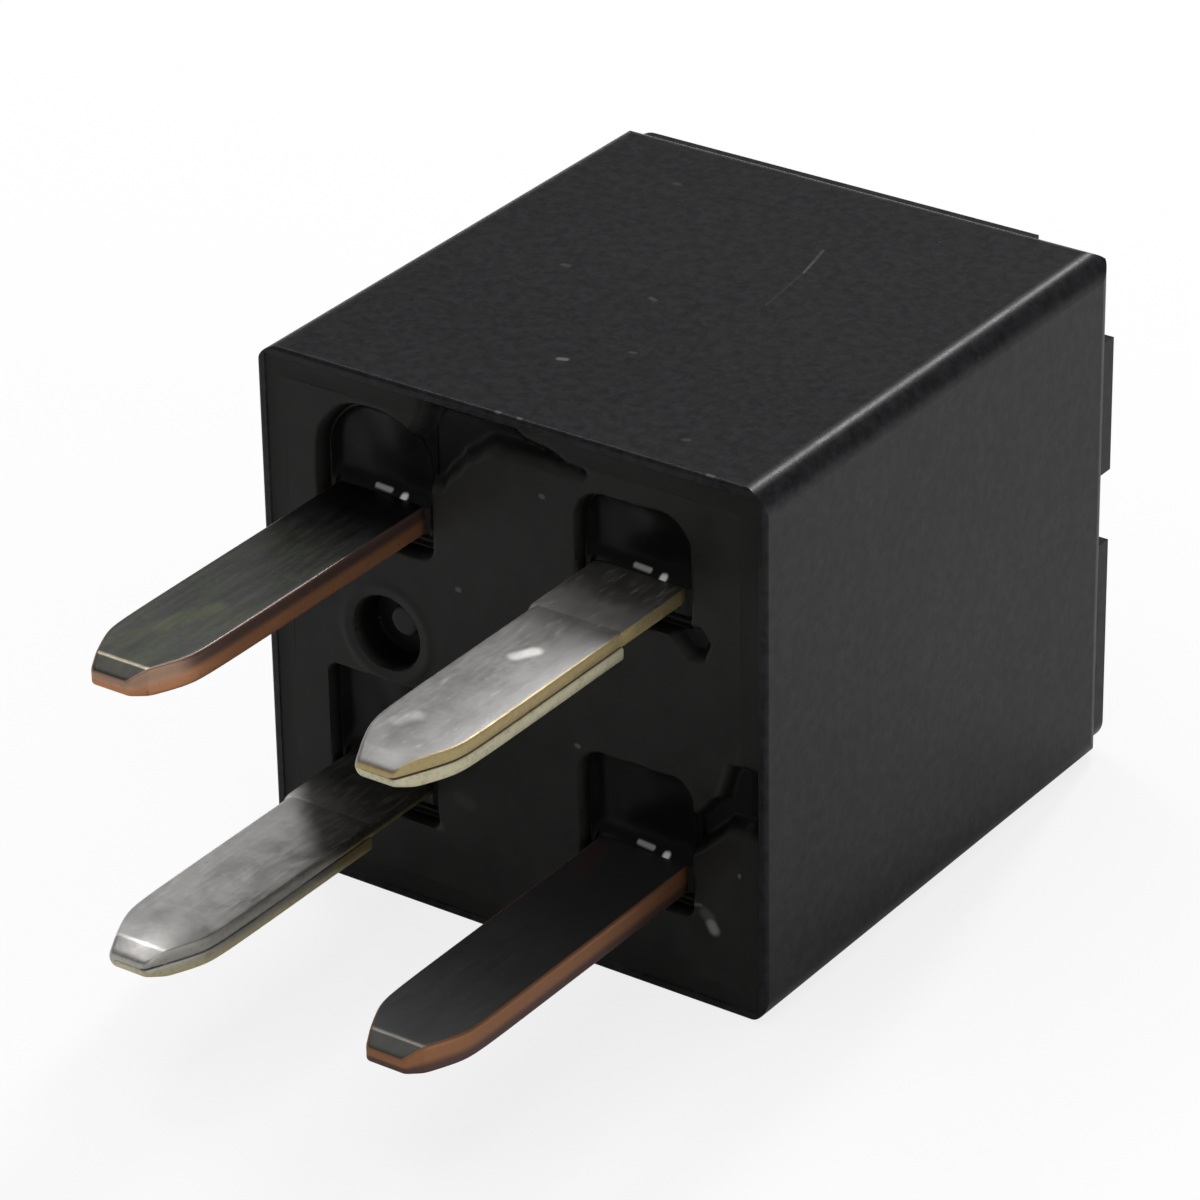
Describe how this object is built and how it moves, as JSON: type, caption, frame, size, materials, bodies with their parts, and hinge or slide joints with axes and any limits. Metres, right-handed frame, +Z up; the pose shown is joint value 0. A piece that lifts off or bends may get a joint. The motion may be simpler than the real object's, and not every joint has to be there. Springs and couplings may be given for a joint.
{
  "type": "automotive relay",
  "caption": "Sealed plug-in automotive relay: a small black box-shaped case with flat metal blade terminals on one end and a hinged armature and coil inside.",
  "frame": {"origin": "middle of the seating face, in the plane of the base's outer face where the blades leave it", "axes": "-Y along the blades, +Y towards the closed end of the cover, +Z up with the relay lying on one long side of its cover, +X to the right seen from the blades"},
  "size_m": [0.0158, 0.028, 0.0154],
  "materials": {
    "cover_plastic": "moulded, slightly satin, finely mottled",
    "base_plastic": "moulded, semi-gloss where epoxy has wetted it",
    "sealant_epoxy": "poured epoxy, glossy, with a curved meniscus",
    "terminal_copper": "copper sheet, tinned on its flat sides, bare on its cut edges",
    "terminal_brass": "thin brass sheet, folded double and tinned, scuffed",
    "magnet_iron": "soft iron, thinly plated",
    "bobbin_plastic": "plain moulded",
    "winding_copper": "enamelled copper wire",
    "winding_tape": "thin clear amber tape",
    "spring_bronze": "rolled spring bronze",
    "contact_silver": "silver alloy, plain",
    "stop_steel": "plain sheet steel",
    "rivet_steel": "plain"
  },
  "bodies": {
    "housing": {"cover": "cover_plastic", "base": "base_plastic", "sealant": "sealant_epoxy", "terminal_common": "terminal_copper", "terminal_contact": "terminal_copper", "terminal_coil_a": "terminal_brass", "terminal_coil_b": "terminal_brass", "core": "magnet_iron", "bobbin": "bobbin_plastic", "winding": "winding_copper", "winding_tape": "winding_tape", "coil_lead_a": "winding_copper", "coil_lead_b": "winding_copper", "yoke": "magnet_iron", "fixed_contact": "contact_silver", "back_stop": "stop_steel", "yoke_rivets": "rivet_steel"},
    "armature_unit": {"armature": "magnet_iron", "contact_spring": "spring_bronze", "moving_contact": "contact_silver", "armature_rivets": "rivet_steel"}
  },
  "joints": [
    {"name": "armature_pull", "type": "hinge", "parent": "housing", "child": "armature_unit", "pos_m": [0, 0.01305, 0.00635], "axis": [-1, 0, 0], "range_deg": [0, 3], "stiffness_Nm_per_rad": 0.02, "springref_deg": -5.73, "deforming": ["contact_spring"]}
  ]
}
